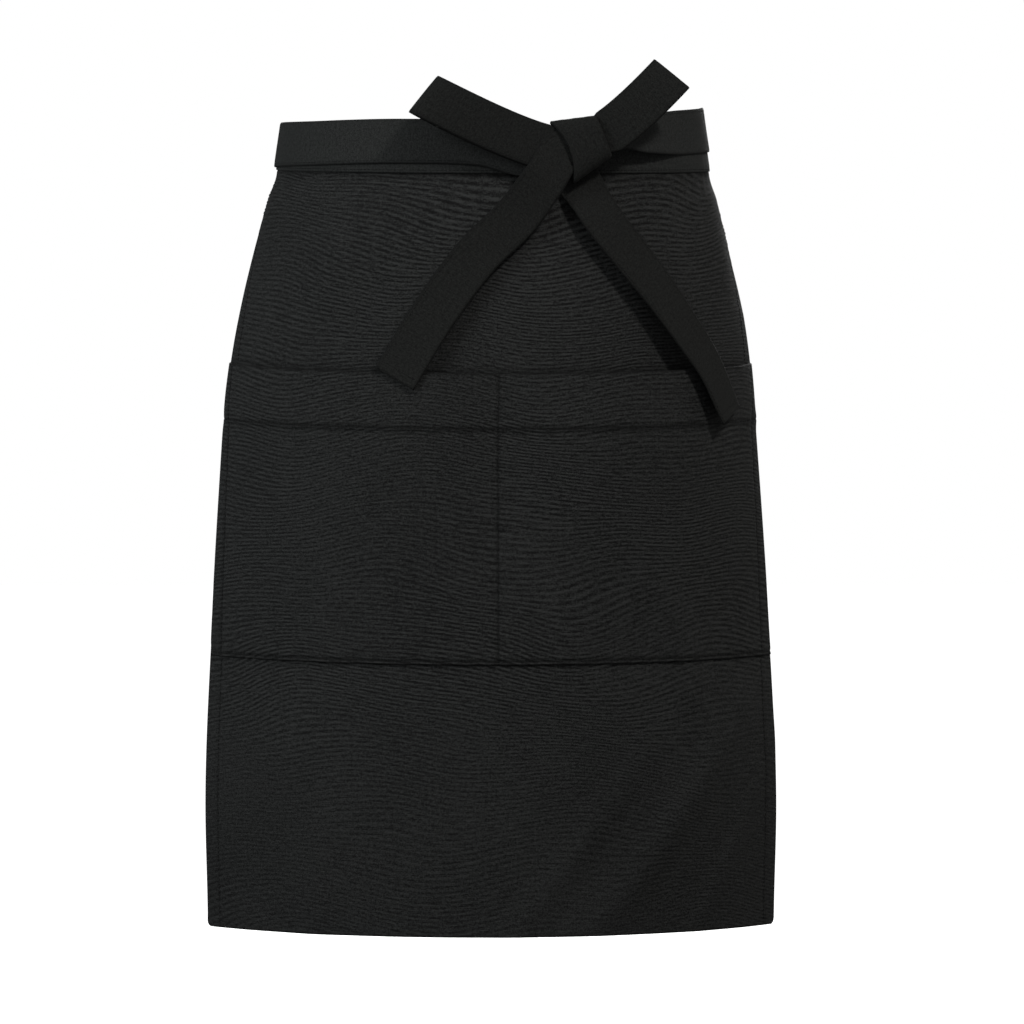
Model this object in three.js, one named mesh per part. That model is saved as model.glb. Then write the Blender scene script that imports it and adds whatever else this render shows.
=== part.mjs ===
import * as THREE from "three";

// Waist apron in black canvas, in the form it has when worn: one skirt panel, one
// double pocket, a waistband, and two long tape ties that go round the back and meet
// in a bow at the front. Lengths are in millimetres, +Z is up and the front faces -Y.
// The origin is the middle of the waist opening at the height of the band's middle.

// Cloth and tape
const CLOTH = 1.2; // wall of the canvas
const TAPE = 1.4; // wall of the doubled, pressed tape of the ties
const TAPE_WIDTH = 34; // finished width of the band and of every tie
const BAND_LEAF = 1; // each of the band's two leaves
const GAP = 0.3; // clearance between neighbouring pieces

// Skirt panel, measured along the cloth
const PANEL_WIDTH = 500;
const SKIRT_DROP = 566; // from the band's lower edge to the bottom edge
const SIDE_HEM = 16; // turned-in strip along each side edge

// Form of the worn waist and skirt
const WAIST_HALF_WIDTH = 165.8;
const WAIST_HALF_DEPTH = 112;
const WAIST_TILT = 9.5; // the front of the waist sits this much lower than its sides
const SKIRT_HALF_WIDTH = 217.9; // at the widest level
const SKIRT_FORWARD = 37; // how far the bottom edge stands in front of the band
const FOLD_HEIGHT = 4;
const FOLD_WIDTH = 18;

// Pocket
const POCKET_MOUTH = 149; // from the band's lower edge down to the mouth
const POCKET_DEPTH = 216;
const POCKET_HEM = 43; // turned-in strip along the mouth
const POCKET_INSET = 1; // between the panel's side edge and the pocket's
const POCKET_SEAM = 0.5; // clearance where the pocket is sewn to the panel
const POCKET_GAPE = 9; // how far each half stands open in the middle of its mouth

// Bow
const KNOT_ACROSS = 62; // from the middle of the front to the middle of the knot
const KNOT_UP = 4.3; // above the middle of the band at the front
const KNOT_TURN = 21.5; // degrees that the wrap leans
const KNOT_DEPTH = 17;
const KNOT_WALL = 1.6;
const KNOT_HEIGHT_LEFT = 50;
const KNOT_HEIGHT_RIGHT = 33;
const KNOT_BELLY = 0.12; // share of the depth that the wrap loses at its ends
const BACK_SPACING = 2; // between the two ties where they run side by side at the back
const BOW_LAYER = 0.4; // clearance between the layers inside the knot
const LOOP_FULLNESS = 5; // half the swelling of each loop
const LEFT_LOOP = { reach: 122, angle: 163, root: 20, gather: 0.33, lean: 8, skew: 12 };
const RIGHT_LOOP = { reach: 84.6, angle: 38.1, root: 22, gather: 0.5, lean: -9, skew: 0 };
const TAIL_GATHER = 0.63; // share of its width that a tail has inside the knot
const TAIL_OPENS = [1.6, 3]; // route points between which it comes to its full width
const TAIL_CORNER = 0.7; // tape widths from the knot's middle to the right tail's corner
const LOOP_BEND = 1.7; // half sleeves from the knot's middle to where a loop turns
const LOOP_TIP = 1.25; // the higher, the shorter the turn at a loop's tip
const LEFT_TAIL = { across: -140.3, down: 174.8, tilt: 0 };
const RIGHT_TAIL = { across: 114.6, down: 200.5, tilt: 10 };

// Levels of the skirt. down is a share of SKIRT_DROP. spread goes from the waist's half
// width to the skirt's, and round from the waist's section to a circle. forward is a
// share of SKIRT_FORWARD, and rise is the lift of the level's sides over WAIST_TILT.
const LEVELS = [
  { down: 0, spread: 0, round: 0, forward: 0, rise: 1 },
  { down: 0.04, spread: 0.127, round: 0.043, forward: 0.11, rise: 1.1 },
  { down: 0.107, spread: 0.302, round: 0.136, forward: 0.27, rise: 1.27 },
  { down: 0.173, spread: 0.465, round: 0.259, forward: 0.39, rise: 1.42 },
  { down: 0.24, spread: 0.598, round: 0.352, forward: 0.49, rise: 1.55 },
  { down: 0.307, spread: 0.692, round: 0.444, forward: 0.57, rise: 1.57 },
  { down: 0.374, spread: 0.752, round: 0.537, forward: 0.65, rise: 1.5 },
  { down: 0.574, spread: 0.885, round: 0.753, forward: 0.785, rise: 1.28 },
  { down: 0.84, spread: 1, round: 1, forward: 0.945, rise: 0.7 },
  { down: 1, spread: 0.965, round: 1, forward: 1, rise: 0.32 },
];

// Soft folds. from and to are shares of SKIRT_DROP, start and end are shares of half the
// panel's width, and height is a share of FOLD_HEIGHT.
const FOLDS = [
  { from: 0.03, to: 0.3, start: -0.5, end: -0.56, height: 0.8 },
  { from: 0.4, to: 0.85, start: 0.36, end: 0.8, height: 0.9 },
  { from: 0.62, to: 1.1, start: 1, end: 0.1, height: 1 },
  { from: 0.66, to: 1.4, start: -0.62, end: -0.5, height: 0.7 },
];

// Ties from their sewn end to the knot. around is degrees from the middle of the front,
// up and width are shares of TAPE_WIDTH, lane goes from the band's own layer to the layer
// over it, and knot goes from that layer to the knot's innermost one. At the back both
// hang low enough to stay behind the band.
const BACK_UPPER = -0.1;
const BACK_LOWER = BACK_UPPER - (TAPE_WIDTH + BACK_SPACING) / TAPE_WIDTH;
const RIGHT_TIE = [
  { around: 100, up: 0, lane: 0, knot: 0, width: 1 },
  { around: 110, up: 0, lane: 0, knot: 0, width: 1 },
  { around: 126, up: -0.5, lane: 0, knot: 0, width: 1 },
  { around: 150, up: BACK_LOWER, lane: 0, knot: 0, width: 1 },
  { around: 210, up: BACK_LOWER, lane: 1, knot: 0, width: 1 },
  { around: 236, up: -0.5, lane: 1, knot: 0, width: 1 },
  { around: 256, up: -0.02, lane: 1, knot: 0, width: 1 },
  { around: 270, up: 0.06, lane: 1, knot: 0, width: 1 },
  { around: 300, up: 0.12, lane: 1, knot: 0, width: 1 },
  { around: 335, up: 0.2, lane: 1, knot: 0, width: 1 },
  { around: 356, up: 0.15, lane: 1, knot: 0.1, width: 1 },
  { around: 366, up: -0.08, lane: 1, knot: 0.6, width: 1 },
  { around: 375, up: -0.11, lane: 1, knot: 1, width: 0.97 },
  { around: 378.3, up: -0.04, lane: 1, knot: 1, width: 0.9 },
];
const LEFT_TIE = [
  { around: 100, up: 0, lane: 0, knot: 0, width: 1 },
  { around: 110, up: 0, lane: 0, knot: 0, width: 1 },
  { around: 126, up: -0.04, lane: 0, knot: 0, width: 1 },
  { around: 150, up: BACK_UPPER, lane: 0, knot: 0, width: 1 },
  { around: 210, up: BACK_UPPER, lane: 1, knot: 0, width: 1 },
  { around: 240, up: 0.2, lane: 1, knot: 0, width: 1 },
  { around: 270, up: 0.44, lane: 1, knot: 0, width: 1 },
  { around: 300, up: 0.4, lane: 1, knot: 0, width: 1 },
  { around: 318, up: 0.34, lane: 1, knot: 0.3, width: 0.85 },
  { around: 325, up: 0.32, lane: 1, knot: 0.62, width: 0.66 },
  { around: 332, up: 0.265, lane: 1, knot: 1, width: 0.6 },
  { around: 335, up: 0.2, lane: 1, knot: 1, width: 0.6 },
];

// Tails of the bow below the knot. across and down are shares of the tail's own reach,
// and proud, the tape's distance from the skirt, is a share of KNOT_DEPTH.
const LEFT_TAIL_ROUTE = [
  { across: 0.205, down: 0.148, proud: 1.12 },
  { across: 0.352, down: 0.309, proud: 0.62 },
  { across: 0.565, down: 0.478, proud: 0.56 },
  { across: 0.792, down: 0.724, proud: 0.64 },
  { across: 1, down: 1, proud: 0.78 },
];
const RIGHT_TAIL_START = { across: -0.056, down: 0.106 };
const RIGHT_TAIL_ROUTE = [
  { across: 0.044, down: 0.192, proud: 0.45 },
  { across: 0.135, down: 0.273, proud: 0.55 },
  { across: 0.361, down: 0.434, proud: 0.6 },
  { across: 0.525, down: 0.551, proud: 0.7 },
  { across: 0.695, down: 0.686, proud: 0.82 },
  { across: 0.845, down: 0.811, proud: 0.9 },
  { across: 1, down: 1, proud: 0.94 },
];

// Smoothness of the solids
const PANEL_COLUMNS = 38;
const PANEL_ROWS = 27;
const POCKET_ROWS = 12;
const TIE_STEPS = 96;
const LOOP_STEPS = 26;
const TAIL_STEPS = 22;
const KNOT_SIDES = 28;
const KNOT_STEPS = 4;

const rad = THREE.MathUtils.degToRad;
const lerp = THREE.MathUtils.lerp;
const halfPanel = PANEL_WIDTH / 2;
const bandHalf = CLOTH / 2 + GAP + BAND_LEAF;

// A smooth curve through one column of a table, read at a place along its key column
function readTable(rows, key, column, place) {
  const last = rows.length - 1;
  if (place <= rows[0][key]) return rows[0][column];
  if (place >= rows[last][key]) return rows[last][column];
  let i = 0;
  while (rows[i + 1][key] < place) i += 1;
  const slope = (j) => {
    const [lo, hi] = [rows[Math.max(j - 1, 0)], rows[Math.min(j + 1, last)]];
    const turns = (hi[column] - rows[j][column]) * (rows[j][column] - lo[column]) <= 0;
    return turns ? 0 : (hi[column] - lo[column]) / (hi[key] - lo[key]);
  };
  const span = rows[i + 1][key] - rows[i][key];
  const f = (place - rows[i][key]) / span;
  const [p, q] = [rows[i][column], rows[i + 1][column]];
  const [m, n] = [slope(i) * span, slope(i + 1) * span];
  return (
    p * (2 * f ** 3 - 3 * f ** 2 + 1) +
    m * (f ** 3 - 2 * f ** 2 + f) +
    q * (3 * f ** 2 - 2 * f ** 3) +
    n * (f ** 3 - f ** 2)
  );
}

// Angles and lengths along an oval section of half width a and half depth b, from its
// front, as far as the panel's side edge
function walkSection(a, b) {
  const walk = [{ angle: 0, length: 0 }];
  const step = rad(1.5);
  while (walk[walk.length - 1].length < halfPanel + 1) {
    const { angle, length } = walk[walk.length - 1];
    const middle = angle + step / 2;
    const grow = step * Math.hypot(a * Math.cos(middle), b * Math.sin(middle));
    walk.push({ angle: angle + step, length: length + grow });
  }
  return walk;
}

function angleAt(walk, length) {
  let i = 1;
  while (i < walk.length - 1 && walk[i].length < length) i += 1;
  const [p, q] = [walk[i - 1], walk[i]];
  return lerp(p.angle, q.angle, (length - p.length) / (q.length - p.length));
}

// The section of one level: its half width is found so that the panel, whose cloth keeps
// its width, is as broad from the front as the table says
const sections = new Map();
function sectionAt(down) {
  const share = Math.min(Math.max(down / SKIRT_DROP, 0), 1);
  if (sections.has(share)) return sections.get(share);
  const read = (column) => readTable(LEVELS, "down", column, share);
  const broad = lerp(WAIST_HALF_WIDTH, SKIRT_HALF_WIDTH, read("spread"));
  const ratio = lerp(WAIST_HALF_DEPTH / WAIST_HALF_WIDTH, 1, read("round"));
  let [low, high] = [broad / 2, broad * 4];
  for (let i = 0; i < 30; i += 1) {
    const a = (low + high) / 2;
    const end = angleAt(walkSection(a, a * ratio), halfPanel);
    const reach = a * Math.sin(Math.min(end, Math.PI / 2));
    if (reach < broad) low = a;
    else high = a;
  }
  const section = {
    a: low,
    b: low * ratio,
    front: -WAIST_HALF_DEPTH - SKIRT_FORWARD * read("forward"),
    rise: WAIST_TILT * read("rise"),
    walk: walkSection(low, low * ratio),
  };
  sections.set(share, section);
  return section;
}

// Point on a section at an angle from its front, with its outward direction
function onSection(section, angle, down) {
  const { a, b, front, rise } = section;
  const back = 1 - Math.cos(angle);
  const top = -WAIST_TILT - TAPE_WIDTH / 2;
  return {
    point: new THREE.Vector3(a * Math.sin(angle), front + b * back, top - down + rise * back),
    out: new THREE.Vector3(Math.sin(angle) / a, -Math.cos(angle) / b, 0).normalize(),
  };
}

function foldAt(along, down) {
  let swell = 0;
  for (const fold of FOLDS) {
    const f = (down / SKIRT_DROP - fold.from) / (fold.to - fold.from);
    if (f <= 0 || f >= 1) continue;
    const middle = lerp(fold.start, fold.end, f) * halfPanel;
    const near = Math.exp(-(((along - middle) / FOLD_WIDTH) ** 2));
    swell += FOLD_HEIGHT * fold.height * near * Math.sin(Math.PI * f) ** 2;
  }
  return swell;
}

// Point of the skirt: along its width from the middle, down from the band's lower edge,
// and out from the middle of the cloth
function skirtPoint(along, down, out) {
  const section = sectionAt(down);
  const angle = angleAt(section.walk, Math.abs(along)) * Math.sign(along);
  const place = onSection(section, angle, down);
  return place.point.addScaledVector(place.out, out + foldAt(along, down));
}

// Skirt's place behind a point of the front view
function skirtBehind(x, z) {
  let down = 0;
  let place = null;
  for (let i = 0; i < 6; i += 1) {
    const section = sectionAt(down);
    const angle = Math.asin(THREE.MathUtils.clamp(x / section.a, -1, 1));
    place = onSection(section, angle, down);
    down += place.point.z - z;
  }
  return place;
}

// Point of the waist ring, in degrees from the middle of the front
function waistPoint(around, up, out) {
  const angle = rad(around);
  const place = onSection(sectionAt(0), angle, -TAPE_WIDTH / 2);
  place.point.z += up;
  place.point.addScaledVector(place.out, out);
  return place;
}

function solid(name, points, faces, color, roughness) {
  const geometry = new THREE.BufferGeometry();
  const flat = points.flatMap((p) => [p.x, p.y, p.z]);
  geometry.setAttribute("position", new THREE.Float32BufferAttribute(flat, 3));
  geometry.setIndex(faces);
  geometry.computeVertexNormals();
  const finish = new THREE.MeshStandardMaterial({ color, roughness, metalness: 0 });
  const mesh = new THREE.Mesh(geometry, finish);
  mesh.name = name;
  return mesh;
}

// Faces of a quad, seen from outside in the order a, b, c, d
const quad = (a, b, c, d) => [a, b, c, a, c, d];

// A curved wall: a grid of points outside, the same grid inside, and the four edges
function wall(columns, rows, outside, inside) {
  const points = [outside, inside].flatMap((place) =>
    rows.flatMap((row) => columns.map((column) => place(column, row))),
  );
  const [n, m] = [columns.length, rows.length];
  const at = (side, i, j) => side * n * m + j * n + i;
  const faces = [];
  for (let j = 0; j < m - 1; j += 1)
    for (let i = 0; i < n - 1; i += 1) {
      faces.push(...quad(at(0, i, j + 1), at(0, i + 1, j + 1), at(0, i + 1, j), at(0, i, j)));
      faces.push(...quad(at(1, i, j), at(1, i + 1, j), at(1, i + 1, j + 1), at(1, i, j + 1)));
    }
  for (let i = 0; i < n - 1; i += 1) {
    faces.push(...quad(at(0, i, 0), at(0, i + 1, 0), at(1, i + 1, 0), at(1, i, 0)));
    faces.push(...quad(at(1, i, m - 1), at(1, i + 1, m - 1), at(0, i + 1, m - 1), at(0, i, m - 1)));
  }
  for (let j = 0; j < m - 1; j += 1) {
    faces.push(...quad(at(1, 0, j), at(1, 0, j + 1), at(0, 0, j + 1), at(0, 0, j)));
    faces.push(...quad(at(0, n - 1, j), at(0, n - 1, j + 1), at(1, n - 1, j + 1), at(1, n - 1, j)));
  }
  return [points, faces];
}

// A section carried along stations, each with a middle, an outward and an upward direction
function swept(stations, outline) {
  const points = stations.flatMap((s) =>
    outline(s).map(([out, up]) =>
      s.middle.clone().addScaledVector(s.out, out).addScaledVector(s.up, up),
    ),
  );
  const n = outline(stations[0]).length;
  const faces = [];
  for (let k = 0; k < stations.length - 1; k += 1)
    for (let i = 0; i < n; i += 1) {
      const next = (i + 1) % n;
      faces.push(...quad(k * n + i, (k + 1) * n + i, (k + 1) * n + next, k * n + next));
    }
  const flat = outline(stations[0]).map(([out, up]) => new THREE.Vector2(out, up));
  const end = (stations.length - 1) * n;
  for (const [a, b, c] of THREE.ShapeUtils.triangulateShape(flat, []))
    faces.push(a, b, c, end + c, end + b, end + a);
  return [points, faces];
}

// Stations of a tape along its middle line, with the layer's outward direction at each
function tapeStations(middles, outs, widths) {
  return middles.map((middle, i) => {
    const before = middles[Math.max(i - 1, 0)];
    const after = middles[Math.min(i + 1, middles.length - 1)];
    const along = after.clone().sub(before).normalize();
    const up = outs[i].clone().cross(along).normalize();
    return { middle, up, out: along.clone().cross(up).normalize(), width: widths[i] };
  });
}

const tapeOutline = ({ width }) => [
  [TAPE / 2, -width / 2],
  [TAPE / 2, width / 2],
  [-TAPE / 2, width / 2],
  [-TAPE / 2, -width / 2],
];

const steps = (count, from, to) =>
  Array.from({ length: count + 1 }, (_, i) => lerp(from, to, i / count));

// Columns of a cloth across its width, with a close pair where each side hem ends
function hemmedColumns(half, hem) {
  const fold = 0.2;
  const inner = half - hem;
  return [-half, -inner - fold, ...steps(PANEL_COLUMNS, -inner, inner), inner + fold, half];
}

// Skirt panel: its top is tucked into the band, and its side edges are turned in
function apronPanel() {
  const tucked = -(TAPE_WIDTH - BAND_LEAF - GAP);
  const hemTop = GAP;
  const rows = [tucked, -TAPE_WIDTH / 2, hemTop, ...steps(PANEL_ROWS, hemTop * 4, SKIRT_DROP)];
  const inner = halfPanel - SIDE_HEM;
  const turned = (s, d) => (Math.abs(s) > inner && d > hemTop ? CLOTH : 0);
  return wall(
    hemmedColumns(halfPanel, SIDE_HEM),
    rows,
    (s, d) => skirtPoint(s, d, CLOTH / 2),
    (s, d) => skirtPoint(s, d, -CLOTH / 2 - turned(s, d)),
  );
}

// Pocket: one patch over the full width, sewn down at its sides, bottom and middle, so
// that each half stands open at its mouth
function pocketPanel() {
  const half = halfPanel - POCKET_INSET;
  const bottom = POCKET_MOUTH + POCKET_DEPTH;
  const hemEnd = POCKET_MOUTH + POCKET_HEM;
  const hemStep = 0.5;
  const lower = steps(POCKET_ROWS, hemEnd + hemStep, bottom);
  const rows = [...steps(3, POCKET_MOUTH, hemEnd), ...lower];
  const gape = (s, d) => {
    const deep = (d - POCKET_MOUTH) / POCKET_DEPTH;
    return POCKET_GAPE * Math.sin((Math.PI * Math.abs(s)) / half) * Math.cos((Math.PI / 2) * deep);
  };
  const inside = (s, d) => CLOTH / 2 + POCKET_SEAM + gape(s, d);
  const doubled = (d) => (d <= hemEnd ? 2 * CLOTH : CLOTH);
  return wall(
    hemmedColumns(half, SIDE_HEM - POCKET_INSET),
    rows,
    (s, d) => skirtPoint(s, d, inside(s, d) + doubled(d)),
    (s, d) => skirtPoint(s, d, inside(s, d)),
  );
}

// Waistband: a folded tape, open below, that holds the panel's top edge
function waistband() {
  const slot = CLOTH / 2 + GAP;
  const top = TAPE_WIDTH / 2;
  const stations = hemmedColumns(halfPanel, SIDE_HEM).map((s) => {
    const angle = angleAt(sectionAt(0).walk, Math.abs(s)) * Math.sign(s);
    const { point, out } = waistPoint(THREE.MathUtils.radToDeg(angle), 0, 0);
    return { middle: point, out, up: new THREE.Vector3(0, 0, 1) };
  });
  return swept(stations, () => [
    [bandHalf, -top],
    [bandHalf, top],
    [-bandHalf, top],
    [-bandHalf, -top],
    [-slot, -top],
    [-slot, top - BAND_LEAF],
    [slot, top - BAND_LEAF],
    [slot, -top],
  ]);
}

// Knot's own directions: along the sleeve and up its height, in the plane of the front
const knotAlong = new THREE.Vector3(Math.cos(rad(KNOT_TURN)), 0, Math.sin(rad(KNOT_TURN)));
const knotHigh = new THREE.Vector3(-knotAlong.z, 0, knotAlong.x);
const forward = new THREE.Vector3(0, -1, 0);
const tapeLayer = TAPE + BOW_LAYER;
const sleeveHalf = TAPE_WIDTH / 2;

// The right tail passes between the band and the knot, so the knot stands clear of both
function layerBehindKnot() {
  const tailCorner = KNOT_ACROSS - TAPE_WIDTH * TAIL_CORNER;
  const band = skirtBehind(tailCorner, 0).point.y - bandHalf;
  return band - GAP - TAPE / 2;
}
const knotMiddle = new THREE.Vector3(
  KNOT_ACROSS,
  layerBehindKnot() - TAPE / 2 - GAP - KNOT_DEPTH / 2,
  KNOT_UP - WAIST_TILT,
);
const onKnot = (along, layer) =>
  knotMiddle.clone().addScaledVector(knotAlong, along).addScaledVector(forward, layer);

// Layers inside the knot, from the innermost one to the front one
const [TIE_LAYER, LOOP_BACK, TAIL_LAYER] = [-2, -0.5, 1.5].map((n) => n * tapeLayer);

// Tie: from its sewn end at the band's end, round the back and over the front to the knot
function tie(rows, side) {
  const bandEnd = angleAt(sectionAt(0).walk, halfPanel + GAP * 2);
  const places = steps(TIE_STEPS, THREE.MathUtils.radToDeg(bandEnd), rows[rows.length - 1].around);
  const read = (column, around) => readTable(rows, "around", column, around);
  const overBand = bandHalf + GAP + TAPE / 2;
  const knotFace = knotMiddle.y - TIE_LAYER;
  const outs = [];
  const middles = places.map((around) => {
    const up = TAPE_WIDTH * read("up", around);
    const { point, out } = waistPoint(side * around, up, read("lane", around) * overBand);
    const entering = read("knot", around);
    point.y = lerp(point.y, knotFace, entering);
    outs.push(out.lerp(forward, entering));
    return point;
  });
  const widths = places.map((around) => TAPE_WIDTH * read("width", around));
  const stations = tapeStations(middles, outs, widths);
  stations[0].up.set(0, 0, 1);
  return swept(stations, tapeOutline);
}

// Loop: a tape that leaves the knot, turns at its tip and comes back over itself
function bowLoop({ reach, angle, root: rootWidth, gather, lean, skew }) {
  const side = Math.sign(Math.cos(rad(angle)));
  const root = onKnot((side * sleeveHalf) / 2, 0);
  const bend = onKnot(side * sleeveHalf * LOOP_BEND, 0);
  const away = new THREE.Vector3(Math.cos(rad(angle)), 0, Math.sin(rad(angle)));
  const tip = knotMiddle.clone().addScaledVector(away, reach);
  const line = new THREE.QuadraticBezierCurve3(root, bend, tip);
  const stations = steps(LOOP_STEPS, 0, Math.PI).map((turn) => {
    const out = Math.sin(turn);
    const share = out ** LOOP_TIP;
    const along = line.getTangent(share);
    const up = along.clone().cross(forward).multiplyScalar(-side).normalize();
    const slant = Math.tan(rad(skew)) * share * side;
    const swell = LOOP_FULLNESS * 1.5 * Math.sin(2 * turn) * out ** 2;
    const layer = Math.cos(turn) * LOOP_BACK - swell + lean * share ** 2;
    const middle = line.getPoint(share).addScaledVector(forward, layer);
    up.addScaledVector(along, slant);
    const open = THREE.MathUtils.smoothstep(share, gather / 3, gather);
    return { middle, up, width: lerp(rootWidth, TAPE_WIDTH, open) };
  });
  stations.forEach((s, i) => {
    const before = stations[Math.max(i - 1, 0)].middle;
    const after = stations[Math.min(i + 1, stations.length - 1)].middle;
    s.out = after.clone().sub(before).cross(s.up).normalize();
  });
  return swept(stations, tapeOutline);
}

// Tail: a free end of the tape that lies down over the skirt to its cut end
function bowTail({ across, down, tilt }, route, start) {
  const reach = new THREE.Vector3(across, 0, -down);
  const rows = route.map((row) => {
    const x = knotMiddle.x + reach.x * row.across;
    const z = knotMiddle.z + reach.z * row.down;
    const { point, out } = skirtBehind(x, z);
    const y = point.y + (KNOT_DEPTH * row.proud) / out.y;
    return { middle: new THREE.Vector3(x, y, z), out };
  });
  const all = [...start.map((middle) => ({ middle, out: forward })), ...rows];
  const line = new THREE.CatmullRomCurve3(all.map((row) => row.middle), false, "centripetal");
  const facing = new THREE.CatmullRomCurve3(all.map((row) => row.out), false, "catmullrom");
  const shares = steps(TAIL_STEPS, 0, 1);
  const middles = shares.map((f) => line.getPoint(f));
  const gathered = start.length > 1 ? TAIL_GATHER : 1;
  const [from, to] = TAIL_OPENS.map((n) => n / (all.length - 1));
  const open = (f) => THREE.MathUtils.smoothstep(f, from, to);
  const widths = shares.map((f) => TAPE_WIDTH * lerp(gathered, 1, open(f)));
  const outs = shares.map((f, i) => {
    const along = line.getTangent(f);
    return facing.getPoint(f).normalize().applyAxisAngle(along, rad(tilt) * Math.min(i / 4, 1));
  });
  return swept(tapeStations(middles, outs, widths), tapeOutline);
}

// Knot: the tape's wrap, a flat sleeve open at both ends that the other pieces enter
function bowKnot() {
  const power = 2 / 3;
  const ring = (along, shrink) => {
    const share = along / sleeveHalf;
    const high = lerp(KNOT_HEIGHT_LEFT, KNOT_HEIGHT_RIGHT, (share + 1) / 2) / 2 - shrink;
    const deep = (KNOT_DEPTH / 2) * (1 - KNOT_BELLY * share * share) - shrink;
    return steps(KNOT_SIDES - 1, 0, (2 * Math.PI * (KNOT_SIDES - 1)) / KNOT_SIDES).map((turn) => {
      const [c, s] = [Math.cos(turn), Math.sin(turn)];
      const up = high * Math.sign(c) * Math.abs(c) ** power;
      const layer = deep * Math.sign(s) * Math.abs(s) ** power;
      return onKnot(along, layer).addScaledVector(knotHigh, up);
    });
  };
  const places = steps(KNOT_STEPS, -sleeveHalf, sleeveHalf);
  const loop = [
    ...places.map((along) => ring(along, 0)),
    ...places.reverse().map((along) => ring(along, KNOT_WALL)),
  ];
  const [n, m] = [KNOT_SIDES, loop.length];
  const faces = [];
  for (let k = 0; k < m; k += 1)
    for (let i = 0; i < n; i += 1) {
      const [next, far] = [(i + 1) % n, (k + 1) % m];
      faces.push(...quad(k * n + i, k * n + next, far * n + next, far * n + i));
    }
  return [loop.flat(), faces];
}

const behindKnot = knotMiddle.clone();
behindKnot.y = layerBehindKnot();
behindKnot.x += RIGHT_TAIL.across * RIGHT_TAIL_START.across;
behindKnot.z -= RIGHT_TAIL.down * RIGHT_TAIL_START.down;

const CANVAS = 0x1d1f1e;
const WEBBING = 0x1b1d1c;
const pieces = [
  ["apron_panel", apronPanel(), CANVAS, 0.92],
  ["pocket_panel", pocketPanel(), CANVAS, 0.92],
  ["waistband", waistband(), WEBBING, 0.9],
  ["tie_left", tie(LEFT_TIE, -1), WEBBING, 0.9],
  ["tie_right", tie(RIGHT_TIE, 1), WEBBING, 0.9],
  ["bow_knot", bowKnot(), WEBBING, 0.9],
  ["bow_loop_left", bowLoop(LEFT_LOOP), WEBBING, 0.9],
  ["bow_loop_right", bowLoop(RIGHT_LOOP), WEBBING, 0.9],
  [
    "bow_tail_left",
    bowTail(LEFT_TAIL, LEFT_TAIL_ROUTE, [
      onKnot(-sleeveHalf / 2, TAIL_LAYER),
      onKnot(-sleeveHalf, TAIL_LAYER + GAP * 4),
    ]),
    WEBBING,
    0.9,
  ],
  ["bow_tail_right", bowTail(RIGHT_TAIL, RIGHT_TAIL_ROUTE, [behindKnot]), WEBBING, 0.9],
];

const apron = new THREE.Group();
for (const [name, [points, faces], color, roughness] of pieces)
  apron.add(solid(name, points, faces, color, roughness));

export default apron;
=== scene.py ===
import math

import bpy
import numpy as np
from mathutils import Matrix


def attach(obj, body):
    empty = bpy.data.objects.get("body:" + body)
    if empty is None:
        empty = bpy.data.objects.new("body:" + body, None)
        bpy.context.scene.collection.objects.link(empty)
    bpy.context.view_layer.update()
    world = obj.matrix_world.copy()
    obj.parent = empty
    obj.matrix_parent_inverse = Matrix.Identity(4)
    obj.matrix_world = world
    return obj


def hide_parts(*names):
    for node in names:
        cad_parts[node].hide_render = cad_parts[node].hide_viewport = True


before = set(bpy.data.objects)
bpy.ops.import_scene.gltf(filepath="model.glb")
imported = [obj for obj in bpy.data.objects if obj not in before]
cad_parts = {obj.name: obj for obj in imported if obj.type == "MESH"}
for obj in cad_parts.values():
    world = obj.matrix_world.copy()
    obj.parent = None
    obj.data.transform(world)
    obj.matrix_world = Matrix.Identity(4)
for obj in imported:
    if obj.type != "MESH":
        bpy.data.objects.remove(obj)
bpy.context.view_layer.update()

# Studio: a level camera four metres away and a little to the left, as the apron was
# photographed, on a plain white floor under a white sky, with a key light from the
# upper right, a broad light from the left and two strips behind the sides.
VIEW_DISTANCE = 4.0
VIEW_TURN = math.radians(-3)
VIEW_HEIGHT = -0.2785
FRAME_WIDTH = 0.7844
FRAME_ASIDE = 0.0157
FLOOR_HEIGHT = -0.9

view_right = np.array([math.cos(VIEW_TURN), math.sin(VIEW_TURN), 0])
view_away = np.array([-math.sin(VIEW_TURN), math.cos(VIEW_TURN), 0])
target = view_right * FRAME_ASIDE + np.array([0, 0, VIEW_HEIGHT])
camera = bpy.data.objects.new("camera", bpy.data.cameras.new("camera"))
camera.data.sensor_width = 36
camera.data.lens = 36 * VIEW_DISTANCE / FRAME_WIDTH
camera.data.clip_end = 100
camera.location = target - view_away * VIEW_DISTANCE
camera.rotation_euler = (math.pi / 2, 0, VIEW_TURN)
bpy.context.scene.collection.objects.link(camera)
bpy.context.scene.camera = camera
bpy.context.scene.view_settings.view_transform = "Standard"

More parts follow.
